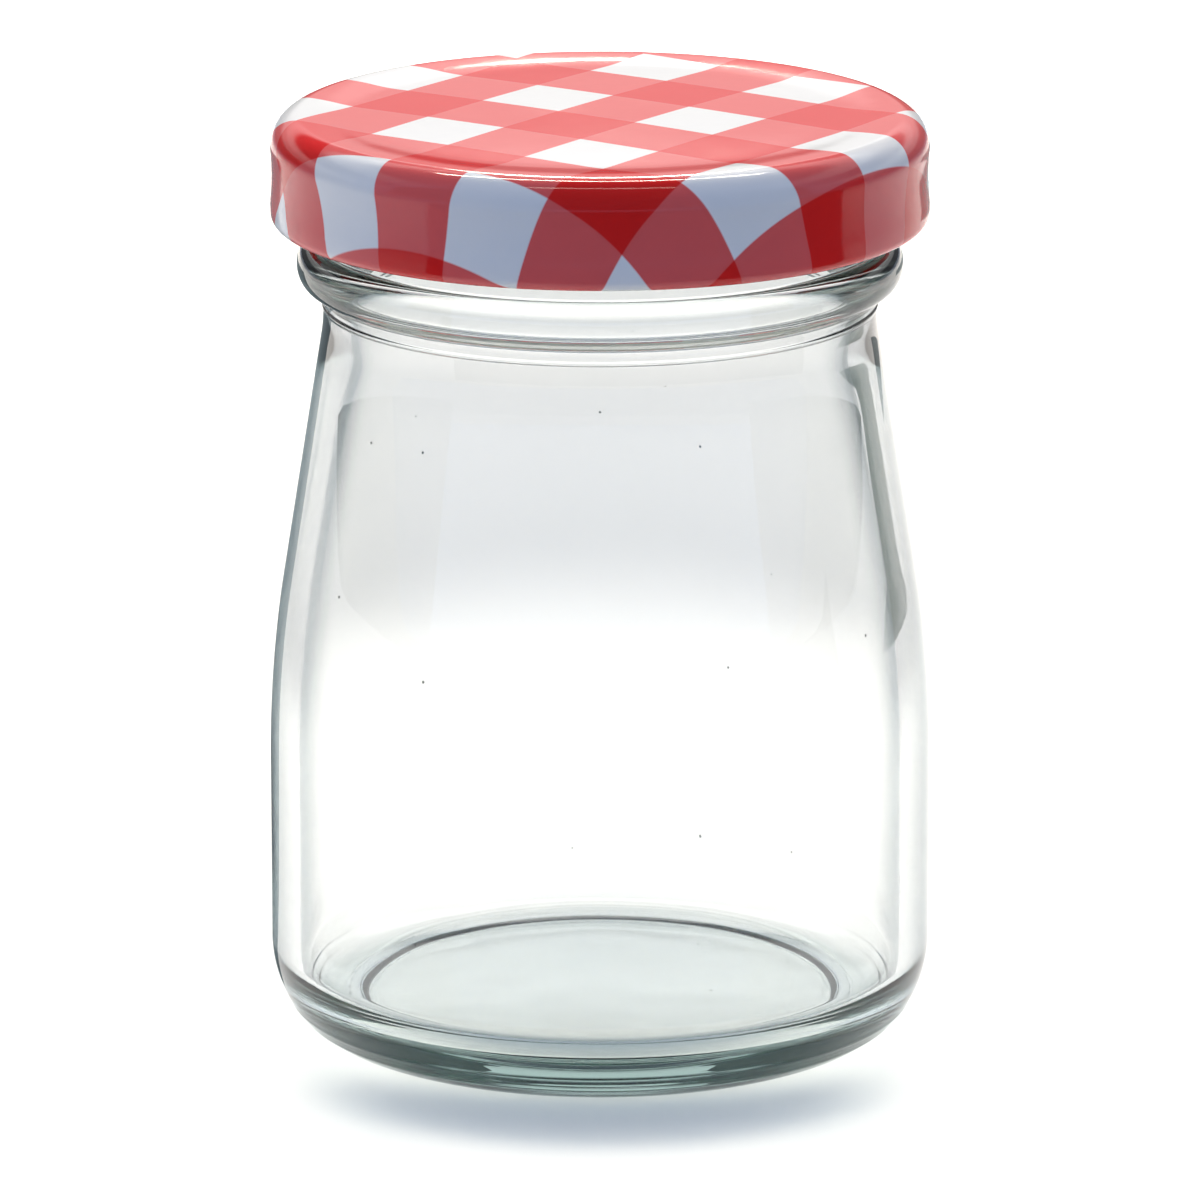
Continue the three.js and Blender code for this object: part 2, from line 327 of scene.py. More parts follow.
tin = Section(0.0, LID_TOP, layers=("flat_radius", "printed"))
tin.arc(0.0, LID_TOP - panel_bow, -panel_degrees, steps=16)
tin.arc(PANEL_RADIUS, panel_edge + rise_radius, math.degrees(rise_turn), steps=8)
tin.arc(RIM_RADIUS, LID_TOP - rise_radius, -math.degrees(rise_turn), steps=8)
tin.line(shoulder, LID_TOP, steps=3)
tin.arc(shoulder, skirt_top, -90, steps=24)
tin.arc(LID_RADIUS - SKIRT_WAIST + waist_radius, skirt_top - skirt_half, waist_turn, steps=12)
tin.line(LID_RADIUS, hem_middle, steps=2)
tin.arc(hem_axis, hem_middle, -180, steps=20, tall=HEM_HEIGHT / HEM_WIDTH)
printed_path = list(tin.path)
print("printed side:", len(printed_path), "points, ends at", printed_path[-1].co.to_tuple(2))

# %% Draw the lacquered underside
SHEET = 0.3
COMPOUND_INNER, COMPOUND_OUTER, COMPOUND_BOTTOM = 20.6, 24.4, 79.02
LID_SIDES = 224

tin.line(LID_RADIUS - HEM_WIDTH, hem_top - SHEET, steps=2)
tin.line(LID_RADIUS - 2 * SHEET, hem_top, steps=2)
tin.line(LID_RADIUS - SKIRT_WAIST - SHEET, skirt_top - skirt_half, steps=3)
tin.line(LID_RADIUS - SHEET, skirt_top, steps=3)
tin.arc(shoulder, skirt_top, 90, steps=12)
tin.line(COMPOUND_OUTER + SHEET, LID_TOP - SHEET, steps=2)
tin.line(COMPOUND_OUTER, COMPOUND_BOTTOM, steps=2)
tin.line(COMPOUND_INNER, COMPOUND_BOTTOM, steps=4)
tin.line(COMPOUND_INNER - SHEET, panel_edge - SHEET, steps=2)
tin.line(0.0, LID_TOP - SHEET, steps=14)
print("whole section:", len(tin.path), "points")

# %% [markdown]
# ## Where the print lands
# Projecting it from above would smear it on the skirt, and wrapping it round would break it at the
# shoulder. Sheet keeps its area when it is drawn, so each place of the section gets the radius that it
# had on the flat disc, and that flat place becomes the UV map.

# %% Store the flat disc as a UV map
flat = tin.mesh.verts.layers.float["flat_radius"]
printed = tin.mesh.verts.layers.float["printed"]
flat_square = 0.0
previous = printed_path[0]
for vert in printed_path:
    run = (vert.co - previous.co).length
    flat_square += (vert.co.x + previous.co.x) * run
    vert[flat] = math.sqrt(flat_square) * MM
    vert[printed] = 1.0
    previous = vert
print("flat disc radius in mm:", round(math.sqrt(flat_square), 2))

lid_mesh = tin.turned(LID_SIDES)
flat = lid_mesh.verts.layers.float["flat_radius"]
flat_map = lid_mesh.loops.layers.uv.new("flat_disc")
for face in lid_mesh.faces:
    for loop in face.loops:
        spot = loop.vert
        angle = math.atan2(spot.co.y, spot.co.x)
        loop[flat_map].uv = (spot[flat] * math.cos(angle), spot[flat] * math.sin(angle))

# %% Pinch the lugs into the hem
LUG_WIDTH, LUG_REACH = math.radians(30), 1.35
LUG_END_SLOPE, LUG_FACE_SLOPE = 12, 2.4

for vert in lid_mesh.verts:
    radius = math.hypot(vert.co.x, vert.co.y)
    if radius < hem_axis and vert.co.z < hem_top:
        angle = math.atan2(vert.co.y, vert.co.x)
        nearest = min(abs(turn_between(angle, direction)) for direction in HOLD_DIRECTIONS)
        ends = eased((LUG_WIDTH / 2 - nearest) * LUG_END_SLOPE)
        depth = ends * eased((hem_axis - radius) / HEM_WIDTH * LUG_FACE_SLOPE)
        move_out(vert, -LUG_REACH * depth)
lid_tin = as_piece(lid_mesh, "lid_tinplate", "lid")

# %% [markdown]
# ## Marks of use
# Glass and lacquer that have been handled are never perfectly even: faint smears change how sharp
# the reflections are. Both finishes need that, so it is one node group with its own scale and
# amount in each. It gives out a mask only, and each material decides what the mask does.

# %% Helpers for nodes


def add(tree, kind, x, y, **settings):
    """Add a node at a place in the editor and set its properties."""
    node = tree.nodes.new(kind)
    node.location = (x, y)
    for name, value in settings.items():
        setattr(node, name, value)
    return node


def smooth_step(tree, x, y, start, full):
    """A node that eases from 0 at the start to 1 at the full value, which may be the lower one."""
    node = add(tree, "ShaderNodeMapRange", x, y, interpolation_type="SMOOTHSTEP")
    node.inputs["From Min"].default_value = start
    node.inputs["From Max"].default_value = full
    return node


def blend(tree, x, y, first, second):
    """A node that goes from the first colour at 0 to the second at 1."""
    node = add(tree, "ShaderNodeMix", x, y, data_type="RGBA")
    node.inputs["A"].default_value = first
    node.inputs["B"].default_value = second
    return node


def new_finish(name):
    """A material with its Principled shader wired to the output."""
    material = bpy.data.materials.new(name)
    material.use_nodes = True
    tree = material.node_tree
    tree.nodes.clear()
    shader = add(tree, "ShaderNodeBsdfPrincipled", 300, 0)
    output = add(tree, "ShaderNodeOutputMaterial", 900, 0)
    tree.links.new(shader.outputs["BSDF"], output.inputs["Surface"])
    return material, tree, shader, output


# %% A node group for smears
SMEAR_DETAIL, SMEAR_ROUGHNESS, SMEAR_FULL = 3.0, 0.62, 0.78


def smear_group():
    """Soft patches of smear, from 0 for clean to 1 for smeared."""
    tree = bpy.data.node_groups.new("handling_smears", "ShaderNodeTree")
    for name in ("Scale", "Start", "Amount"):
        tree.interface.new_socket(name, in_out="INPUT", socket_type="NodeSocketFloat")
    tree.interface.new_socket("Mask", in_out="OUTPUT", socket_type="NodeSocketFloat")
    entry = add(tree, "NodeGroupInput", -800, 0)
    place = add(tree, "ShaderNodeTexCoord", -800, -200)
    noise = add(tree, "ShaderNodeTexNoise", -560, 0)
    noise.inputs["Detail"].default_value = SMEAR_DETAIL
    noise.inputs["Roughness"].default_value = SMEAR_ROUGHNESS
    spread = smooth_step(tree, -320, 0, 0.0, SMEAR_FULL)
    level = add(tree, "ShaderNodeMath", -120, 0, operation="MULTIPLY")
    leave = add(tree, "NodeGroupOutput", 80, 0)
    tree.links.new(place.outputs["Object"], noise.inputs["Vector"])
    tree.links.new(entry.outputs["Scale"], noise.inputs["Scale"])
    tree.links.new(noise.outputs["Fac"], spread.inputs["Value"])
    tree.links.new(entry.outputs["Start"], spread.inputs["From Min"])
    tree.links.new(spread.outputs["Result"], level.inputs[0])
    tree.links.new(entry.outputs["Amount"], level.inputs[1])
    tree.links.new(level.outputs["Value"], leave.inputs["Mask"])
    return tree


smears = smear_group()


def place_smears(tree, scale, start, amount):
    """Put the smear group in a material with its own values."""
    node = add(tree, "ShaderNodeGroup", -300, -300, node_tree=smears)
    node.inputs["Scale"].default_value = scale
    node.inputs["Start"].default_value = start
    node.inputs["Amount"].default_value = amount
    return node


print("smear group has", len(smears.nodes), "nodes")

# %% [markdown]
# ## Clear glass
# Plain jar glass is clear where it is thin and green-grey where you look along it. A colour all over
# the surface would tint it evenly, so the tint is an absorption inside: light loses a little on every
# millimetre it travels. Towards a grazing angle the surface colour is painted darker, a painted shade
# that draws the thin dark line along the edge of a wall. A few tiny dark seeds sit in the wall, as in
# any cheap glass, and a gentle ripple in the normals is what a mould leaves.

# %% The glass: painted edge shade and seeds
GLASS_IOR = 1.52
CLEAR = (1.0, 1.0, 1.0, 1.0)
PAINTED_EDGE_SHADE = (0.16, 0.21, 0.235, 1.0)
EDGE_START, EDGE_FULL, EDGE_BLEND = 0.56, 0.86, 0.5
SEED_DARK = (0.03, 0.035, 0.035, 1.0)
SEED_SCALE, SEED_SHARE = 330.0, 0.15
SEED_CORE, SEED_EDGE = 0.036, 0.056

glass_finish, glass_tree, glass_shader, glass_output = new_finish("clear_glass")
glass_shader.inputs["IOR"].default_value = GLASS_IOR
glass_shader.inputs["Transmission Weight"].default_value = 1.0
glass_place = add(glass_tree, "ShaderNodeTexCoord", -900, 0)

# Painted shade: the glass colour darkens towards grazing angles and draws a dark line along each edge.
slant = add(glass_tree, "ShaderNodeLayerWeight", -640, 520)
slant.inputs["Blend"].default_value = EDGE_BLEND
edge = smooth_step(glass_tree, -420, 560, EDGE_START, EDGE_FULL)
painted_edge_colour = blend(glass_tree, -200, 520, CLEAR, PAINTED_EDGE_SHADE)
glass_tree.links.new(slant.outputs["Facing"], edge.inputs["Value"])
glass_tree.links.new(edge.outputs["Result"], painted_edge_colour.inputs["Factor"])

seeds = add(glass_tree, "ShaderNodeTexVoronoi", -640, 260)
seeds.inputs["Scale"].default_value = SEED_SCALE
seed_spot = smooth_step(glass_tree, -420, 300, SEED_EDGE, SEED_CORE)
seed_number = add(glass_tree, "ShaderNodeSeparateColor", -420, 120)
seed_kept = add(glass_tree, "ShaderNodeMath", -240, 160, operation="LESS_THAN")
seed_kept.inputs[1].default_value = SEED_SHARE
seed_mask = add(glass_tree, "ShaderNodeMath", -80, 240, operation="MULTIPLY")
seed_colour = blend(glass_tree, 80, 200, CLEAR, SEED_DARK)
glass_tree.links.new(glass_place.outputs["Object"], seeds.inputs["Vector"])
glass_tree.links.new(seeds.outputs["Distance"], seed_spot.inputs["Value"])
glass_tree.links.new(seeds.outputs["Color"], seed_number.inputs["Color"])
glass_tree.links.new(seed_number.outputs["Red"], seed_kept.inputs[0])
glass_tree.links.new(seed_spot.outputs["Result"], seed_mask.inputs[0])
glass_tree.links.new(seed_kept.outputs["Value"], seed_mask.inputs[1])
glass_tree.links.new(seed_mask.outputs["Value"], seed_colour.inputs["Factor"])
glass_tree.links.new(painted_edge_colour.outputs["Result"], seed_colour.inputs["A"])
glass_tree.links.new(seed_colour.outputs["Result"], glass_shader.inputs["Base Color"])
print("edge and seeds:", len(glass_tree.nodes), "nodes")

# %% The glass: ripple, smears and the tint inside
RIPPLE_SCALE, RIPPLE_DETAIL, RIPPLE_HEIGHT = 90.0, 1.0, 0.00006
RIPPLE_STRETCH = (1.0, 1.0, 0.35)
GLASS_TINT = (0.52, 0.68, 0.65, 1.0)
GLASS_DENSITY = 36.0

stretch = add(glass_tree, "ShaderNodeMapping", -860, -520)
stretch.inputs["Scale"].default_value = RIPPLE_STRETCH
ripple = add(glass_tree, "ShaderNodeTexNoise", -640, -520)
ripple.inputs["Scale"].default_value = RIPPLE_SCALE
ripple.inputs["Detail"].default_value = RIPPLE_DETAIL
ripple_bump = add(glass_tree, "ShaderNodeBump", 60, -460)
ripple_bump.inputs["Strength"].default_value = 1.0
ripple_bump.inputs["Distance"].default_value = RIPPLE_HEIGHT
glass_tree.links.new(glass_place.outputs["Object"], stretch.inputs["Vector"])
glass_tree.links.new(stretch.outputs["Vector"], ripple.inputs["Vector"])
glass_tree.links.new(ripple.outputs["Fac"], ripple_bump.inputs["Height"])
glass_tree.links.new(ripple_bump.outputs["Normal"], glass_shader.inputs["Normal"])

glass_smears = place_smears(glass_tree, scale=60.0, start=0.62, amount=0.04)
glass_tree.links.new(glass_smears.outputs["Mask"], glass_shader.inputs["Roughness"])
tint_inside = add(glass_tree, "ShaderNodeVolumeAbsorption", 300, -420)
tint_inside.inputs["Color"].default_value = GLASS_TINT
tint_inside.inputs["Density"].default_value = GLASS_DENSITY
glass_tree.links.new(tint_inside.outputs["Volume"], glass_output.inputs["Volume"])
print("with ripple and tint:", len(glass_tree.nodes), "nodes")

# %% [markdown]
# ## Light through the glass
# A real jar bends the light that falls through it on the table. That could be traced as it is, but such
# light is slow and leaves speckles. Here light on its way from a lamp or from the table passes straight
# through, and only what the camera sees is bent. The thick front of the heel would hold much of that
# light back, so a soft band there passes less of it.

# %% The glass: light that passes straight through
HEEL_PASS = (0.30, 0.35, 0.37, 1.0)
HEEL_SHADE_MIDDLE, HEEL_SHADE_FULL, HEEL_SHADE_END = 3.8, 1.2, 4.4
HEEL_FRONT_START, HEEL_FRONT_FULL = -9.0, -23.0

glass_axes = add(glass_tree, "ShaderNodeSeparateXYZ", -800, -800)
heel_offset = add(glass_tree, "ShaderNodeMath", -640, -800, operation="SUBTRACT")
heel_offset.inputs[1].default_value = HEEL_SHADE_MIDDLE * MM
heel_away = add(glass_tree, "ShaderNodeMath", -480, -800, operation="ABSOLUTE")
heel_band = smooth_step(glass_tree, -320, -800, HEEL_SHADE_END * MM, HEEL_SHADE_FULL * MM)
heel_front = smooth_step(glass_tree, -320, -1060, HEEL_FRONT_START * MM, HEEL_FRONT_FULL * MM)
heel_mask = add(glass_tree, "ShaderNodeMath", -140, -900, operation="MULTIPLY")
pass_colour = blend(glass_tree, 20, -800, CLEAR, HEEL_PASS)
straight = add(glass_tree, "ShaderNodeBsdfTransparent", 300, -620)
glass_tree.links.new(glass_place.outputs["Object"], glass_axes.inputs["Vector"])
glass_tree.links.new(glass_axes.outputs["Z"], heel_offset.inputs[0])
glass_tree.links.new(heel_offset.outputs["Value"], heel_away.inputs[0])
glass_tree.links.new(heel_away.outputs["Value"], heel_band.inputs["Value"])
glass_tree.links.new(glass_axes.outputs["Y"], heel_front.inputs["Value"])
glass_tree.links.new(heel_band.outputs["Result"], heel_mask.inputs[0])
glass_tree.links.new(heel_front.outputs["Result"], heel_mask.inputs[1])
glass_tree.links.new(heel_mask.outputs["Value"], pass_colour.inputs["Factor"])
glass_tree.links.new(pass_colour.outputs["Result"], straight.inputs["Color"])

light_path = add(glass_tree, "ShaderNodeLightPath", 300, 420)
from_lamp = add(glass_tree, "ShaderNodeMixShader", 560, 0)
from_table = add(glass_tree, "ShaderNodeMixShader", 740, 0)
glass_tree.links.new(light_path.outputs["Is Shadow Ray"], from_lamp.inputs["Fac"])
glass_tree.links.new(glass_shader.outputs["BSDF"], from_lamp.inputs[1])
glass_tree.links.new(straight.outputs["BSDF"], from_lamp.inputs[2])
glass_tree.links.new(light_path.outputs["Is Diffuse Ray"], from_table.inputs["Fac"])
glass_tree.links.new(from_lamp.outputs["Shader"], from_table.inputs[1])
glass_tree.links.new(straight.outputs["BSDF"], from_table.inputs[2])
glass_tree.links.new(from_table.outputs["Shader"], glass_output.inputs["Surface"])
jar_glass.data.materials.append(glass_finish)
print("glass finish has", len(glass_tree.nodes), "nodes")

# %% [markdown]
# ## Printed tinplate
# Where one stripe lies the tin is pink-red, and where two cross the ink is doubled and the red is
# deep. Multiplying the two stripes gives that by itself, so no third colour is needed. A clear
# lacquer lies on top.

# %% The lid: the check
CHECK_SIDE = 0.00793
CHECK_TURN = math.radians(54.6)
CHECK_START = (2.183, -0.413, 0.0)
CHECK_SOFT = 0.012
WHITE_COAT = (0.745, 0.745, 0.75, 1.0)
RED_INK = (0.95, 0.145, 0.14, 1.0)
NO_INK = (1.0, 1.0, 1.0, 1.0)
UNDER_LACQUER = (0.78, 0.76, 0.70, 1.0)

lid_finish, lid_tree, lid_shader, _ = new_finish("printed_tinplate")
disc = add(lid_tree, "ShaderNodeUVMap", -1500, 200, uv_map="flat_disc")
turned_disc = add(lid_tree, "ShaderNodeMapping", -1300, 200)
turned_disc.inputs["Scale"].default_value = (1 / CHECK_SIDE, 1 / CHECK_SIDE, 1.0)
turned_disc.inputs["Rotation"].default_value = (0.0, 0.0, -CHECK_TURN)
turned_disc.inputs["Location"].default_value = CHECK_START
disc_axes = add(lid_tree, "ShaderNodeSeparateXYZ", -1100, 200)
lid_tree.links.new(disc.outputs["UV"], turned_disc.inputs["Vector"])
lid_tree.links.new(turned_disc.outputs["Vector"], disc_axes.inputs["Vector"])


def stripe(axis, y):
    """The ink of one set of stripes: half of every two checks is red."""
    middle = add(lid_tree, "ShaderNodeMath", -900, y, operation="SUBTRACT")
    middle.inputs[1].default_value = 0.5
    wave = add(lid_tree, "ShaderNodeMath", -740, y, operation="PINGPONG")
    wave.inputs[1].default_value = 1.0
    border = smooth_step(lid_tree, -580, y, 0.5 - CHECK_SOFT, 0.5 + CHECK_SOFT)
    ink = blend(lid_tree, -400, y, NO_INK, RED_INK)
    lid_tree.links.new(disc_axes.outputs[axis], middle.inputs[0])
    lid_tree.links.new(middle.outputs["Value"], wave.inputs[0])
    lid_tree.links.new(wave.outputs["Value"], border.inputs["Value"])
    lid_tree.links.new(border.outputs["Result"], ink.inputs["Factor"])
    return ink


def ink_over(below, x, y):
    """A node that multiplies a colour with its own second colour, as ink over ink."""
    node = add(lid_tree, "ShaderNodeMix", x, y, data_type="RGBA", blend_type="MULTIPLY")
    node.inputs["Factor"].default_value = 1.0
    lid_tree.links.new(below.outputs["Result"], node.inputs["A"])
    return node


crossed = ink_over(stripe("X", 300), -200, 200)
lid_tree.links.new(stripe("Y", 0).outputs["Result"], crossed.inputs["B"])
coated = ink_over(crossed, -40, 200)
coated.inputs["B"].default_value = WHITE_COAT
printed_side = add(lid_tree, "ShaderNodeAttribute", -200, 420, attribute_name="printed")
both_sides = blend(lid_tree, 120, 200, UNDER_LACQUER, NO_INK)
lid_tree.links.new(printed_side.outputs["Fac"], both_sides.inputs["Factor"])
lid_tree.links.new(coated.outputs["Result"], both_sides.inputs["B"])
lid_tree.links.new(both_sides.outputs["Result"], lid_shader.inputs["Base Color"])
print("check:", len(lid_tree.nodes), "nodes")

# %% The lid: lacquer
LACQUER_IOR, LACQUER_ROUGHNESS = 1.36, 0.06
SHEET_WAVE_SCALE, SHEET_WAVE_DETAIL, SHEET_WAVE_HEIGHT = 220.0, 3.0, 0.00002

lid_smears = place_smears(lid_tree, scale=45.0, start=0.42, amount=0.07)
gloss = add(lid_tree, "ShaderNodeMath", 60, -240, operation="ADD")
gloss.inputs[1].default_value = LACQUER_ROUGHNESS
lid_place = add(lid_tree, "ShaderNodeTexCoord", -640, -520)
sheet_wave = add(lid_tree, "ShaderNodeTexNoise", -420, -520)
sheet_wave.inputs["Scale"].default_value = SHEET_WAVE_SCALE
sheet_wave.inputs["Detail"].default_value = SHEET_WAVE_DETAIL
sheet_bump = add(lid_tree, "ShaderNodeBump", 60, -460)
sheet_bump.inputs["Distance"].default_value = SHEET_WAVE_HEIGHT
lid_tree.links.new(lid_smears.outputs["Mask"], gloss.inputs[0])
lid_tree.links.new(gloss.outputs["Value"], lid_shader.inputs["Roughness"])
lid_tree.links.new(lid_place.outputs["Object"], sheet_wave.inputs["Vector"])
lid_tree.links.new(sheet_wave.outputs["Fac"], sheet_bump.inputs["Height"])
lid_tree.links.new(sheet_bump.outputs["Normal"], lid_shader.inputs["Normal"])
lid_shader.inputs["IOR"].default_value = LACQUER_IOR
lid_tin.data.materials.append(lid_finish)
print("lid finish has", len(lid_tree.nodes), "nodes")

# %% [markdown]
# ## Table and camera
# The jar stands on a plain white table. The camera is far away with a long lens, as in the picture of
# the jar: near parallel lines, looking a little down on the lid. The aim is on the axis, so the frame
# needs no shift.

# %% The table and the camera
CAMERA_BACK, CAMERA_HEIGHT, AIM_HEIGHT = 0.8216, 0.2546, 0.03733
FOCAL_PIXELS, FRAME_PIXELS, SENSOR = 9912.0, 1200.0, 36.0
FARTHEST_SEEN = 20.0
TABLE_HALF, TABLE_ROUGHNESS = 3.0, 0.6
TABLE_WHITE = (0.88, 0.875, 0.87, 1.0)


def plain_finish(name, colour, roughness):
    """A finish of one colour for what is not part of the jar."""
    finish, _, shader, _ = new_finish(name)
    shader.inputs["Base Color"].default_value = colour
    shader.inputs["Roughness"].default_value = roughness
    return finish


table_mesh = bmesh.new()
bmesh.ops.create_grid(table_mesh, x_segments=1, y_segments=1, size=TABLE_HALF)
table_data = bpy.data.meshes.new("table")
table_mesh.to_mesh(table_data)
table_mesh.free()
table = bpy.data.objects.new("table", table_data)
bpy.context.scene.collection.objects.link(table)
table_data.materials.append(plain_finish("white_table", TABLE_WHITE, TABLE_ROUGHNESS))

lens = bpy.data.cameras.new("camera")
lens.sensor_width = SENSOR
lens.lens = SENSOR * FOCAL_PIXELS / FRAME_PIXELS
lens.clip_end = FARTHEST_SEEN
camera = bpy.data.objects.new("camera", lens)
camera.location = (0.0, -CAMERA_BACK, CAMERA_HEIGHT)
aim = Vector((0.0, 0.0, AIM_HEIGHT)) - camera.location
camera.rotation_euler = aim.to_track_quat("-Z", "Y").to_euler()
bpy.context.scene.collection.objects.link(camera)
bpy.context.scene.camera = camera
print("camera", round(aim.length, 3), "m away, lens", round(lens.lens, 1), "mm")

# %% [markdown]
# ## Light
# Clear glass has no colour of its own, so it shows what stands round it. A big soft box overhead and
# another behind light the table, and both are kept out of the reflections. Three smaller strips behind
# and above are what the lacquer mirrors, so they draw fine lines along the lid's shoulder.

# %% Soft boxes and strips
LOOK_AT = Vector((0.0, 0.0, 0.04))
LAMP_WARMTH = (1.0, 0.93, 0.81)


def soft_box(name, degrees, distance, size, power):
    """A rectangular lamp on an arc over the jar, 0 level behind it and 90 overhead, facing the jar."""
    turn = math.radians(degrees)
    lamp = bpy.data.lights.new(name, "AREA")
    lamp.shape = "RECTANGLE"
    lamp.size, lamp.size_y = size
    lamp.energy = power
    lamp.color = LAMP_WARMTH
    holder = bpy.data.objects.new(name, lamp)
    holder.location = LOOK_AT + distance * Vector((0.0, math.cos(turn), math.sin(turn)))
    holder.rotation_euler = (LOOK_AT - holder.location).to_track_quat("-Z", "Y").to_euler()
    bpy.context.scene.collection.objects.link(holder)
    return holder


boxes = [
    soft_box("box_overhead", degrees=88, distance=0.58, size=(0.8, 0.8), power=1.3),
    soft_box("box_behind", degrees=35, distance=0.9, size=(0.5, 0.25), power=12.3),
]
for lamp in boxes:
    lamp.visible_glossy = False
    lamp.visible_transmission = False
strips = [
    soft_box("strip_low", degrees=26, distance=0.9, size=(0.09, 0.12), power=1.0),
    soft_box("strip_middle", degrees=57, distance=0.9, size=(0.5, 0.05), power=3.6),
    soft_box("strip_high", degrees=94, distance=1.0, size=(0.5, 0.05), power=0.8),
]
for lamp in strips:
    lamp.visible_diffuse = False
    lamp.visible_transmission = False
print("lamps:", [lamp.name for lamp in boxes + strips])

# %% [markdown]
# ## The room
# A picture of a studio could surround the scene, but two short colour ramps by height are enough and can
# be set by hand. Behind the table stands a low white backdrop, dimmer at its foot, with the dark of the
# room above it and one bright band higher up, which makes the light and dark rings in the thick base.
# The room is dim and bluish on the camera's side, so the front of the skirt lies in shade.

# %% Two sides of the room
ROOM_FRONT = (0.44, 0.60, 0.95, 1.0)
ROOM_LOW = (0.12, 0.125, 0.135, 1.0)
ROOM_BACK = (1.0, 1.0, 1.0, 1.0)
ROOM_DIM = (0.66, 0.66, 0.66, 1.0)
ROOM_ABOVE = (0.10, 0.11, 0.13, 1.0)
ROOM_BAND = (1.25, 1.25, 1.25, 1.0)
FRONT_SIDE = {0: ROOM_FRONT, 38: ROOM_FRONT, 62: ROOM_ABOVE}
BACK_SIDE = {
    0: ROOM_LOW, 7: ROOM_LOW, 9.5: ROOM_DIM, 12.6: ROOM_DIM, 14.2: ROOM_BACK, 18: ROOM_BACK,
    20.5: ROOM_ABOVE, 31: ROOM_ABOVE, 34: ROOM_BAND, 43: ROOM_BAND, 47: ROOM_ABOVE,
}
FRONT_END, BACK_START = -0.4, 0.5

room = bpy.data.worlds.new("studio")
room.use_nodes = True
bpy.context.scene.world = room
room_tree = room.node_tree
room_tree.nodes.clear()
room_place = add(room_tree, "ShaderNodeTexCoord", -900, 0)
room_axes = add(room_tree, "ShaderNodeSeparateXYZ", -700, 0)
room_tree.links.new(room_place.outputs["Generated"], room_axes.inputs["Vector"])


def room_side(colours, y):
    """The colours of one side of the room, by degrees above the table."""
    ramp = add(room_tree, "ShaderNodeValToRGB", -480, y)
    stops = ramp.color_ramp.elements
    while len(stops) < len(colours):
        stops.new(0.5)
    for stop, (elevation, colour) in zip(stops, colours.items()):
        stop.position = math.sin(math.radians(elevation))
        stop.color = colour
    room_tree.links.new(room_axes.outputs["Z"], ramp.inputs["Fac"])
    return ramp


front_to_back = smooth_step(room_tree, -420, 200, FRONT_END, BACK_START)
room_colour = add(room_tree, "ShaderNodeMix", -120, 0, data_type="RGBA")
room_light = add(room_tree, "ShaderNodeBackground", 80, 0)
room_output = add(room_tree, "ShaderNodeOutputWorld", 260, 0)
room_tree.links.new(room_axes.outputs["Y"], front_to_back.inputs["Value"])
room_tree.links.new(front_to_back.outputs["Result"], room_colour.inputs["Factor"])
room_tree.links.new(room_side(FRONT_SIDE, -60).outputs["Color"], room_colour.inputs["A"])
room_tree.links.new(room_side(BACK_SIDE, -320).outputs["Color"], room_colour.inputs["B"])
room_tree.links.new(room_colour.outputs["Result"], room_light.inputs["Color"])
room_tree.links.new(room_light.outputs["Background"], room_output.inputs["Surface"])
print("room:", len(FRONT_SIDE), "colours in front,", len(BACK_SIDE), "behind")

# %% [markdown]
# ## Papers and cards out of the picture
# White glass on a white table has weak edges. Photographers put papers and cards just out of the
# picture, where only the glass or the lacquer sees them. The same is done here, and Blender's ray
# visibility keeps each one from the camera, from shadows and from whatever else must not see it.
# None of them is part of the jar.

# %% Helpers for papers
PAPER_LIFT, PAPER_ROUGHNESS = 0.001, 0.9
RING_STEPS = 48


def ring_slice(near_radius, far_radius, degrees, middle_degrees=0):
    """A flat slice of a ring; its middle points at the camera, or some degrees to the right of it."""
    mesh = bmesh.new()
    near_end = bmesh.ops.create_vert(mesh, co=(0.0, -near_radius, 0.0))["vert"]
    far_end = bmesh.ops.create_vert(mesh, co=(0.0, -far_radius, 0.0))["vert"]
    spoke = bmesh.ops.contextual_create(mesh, geom=near_end + far_end)["edges"]
    half_back = Matrix.Rotation(math.radians(middle_degrees - degrees / 2), 4, "Z")
    bmesh.ops.transform(mesh, matrix=half_back, verts=mesh.verts)
    bmesh.ops.spin(
        mesh, geom=near_end + far_end + spoke, cent=NO_DRIFT, axis=(0.0, 0.0, 1.0), dvec=NO_DRIFT,
        angle=math.radians(degrees), steps=RING_STEPS, use_merge=degrees == 360, use_duplicate=False,
    )
    return mesh


def cut_paper(corners):
    """A flat paper with the given corners."""
    mesh = bmesh.new()
    outline = [bmesh.ops.create_vert(mesh, co=corner)["vert"][0] for corner in corners]
    bmesh.ops.contextual_create(mesh, geom=outline)
    return mesh


def set_out(mesh, name, finish, lift=0.0):
    """Make a flat bmesh a stage object that neither camera nor shadow sees."""
    data = bpy.data.meshes.new(name)
    bmesh.ops.translate(mesh, vec=(0.0, 0.0, lift), verts=mesh.verts)
    mesh.to_mesh(data)
    mesh.free()
    sheet = bpy.data.objects.new(name, data)
    bpy.context.scene.collection.objects.link(sheet)
    sheet.visible_camera = False
    sheet.visible_shadow = False
    data.materials.append(finish)
    return sheet


print("papers lie", PAPER_LIFT, "m above the table")

# %% [markdown]
# ## What shows through the walls
# A grey ring on the table, white at its inner edge, tones what shows through the upper walls. The rims
# of the walls bend the view far to the sides, to two pointed papers: a dark one on the right, and a
# narrow grey one on the left. Cards that stand beside the jar put the dark green in the heel, and small
# ones beside the neck darken the bead. Only rays that have passed through glass see them.

# %% The grey ring
RING_NEAR, RING_FULL, RING_FAR = 0.095, 0.175, 0.80
RING_GREY = (0.465, 0.47, 0.485, 1.0)

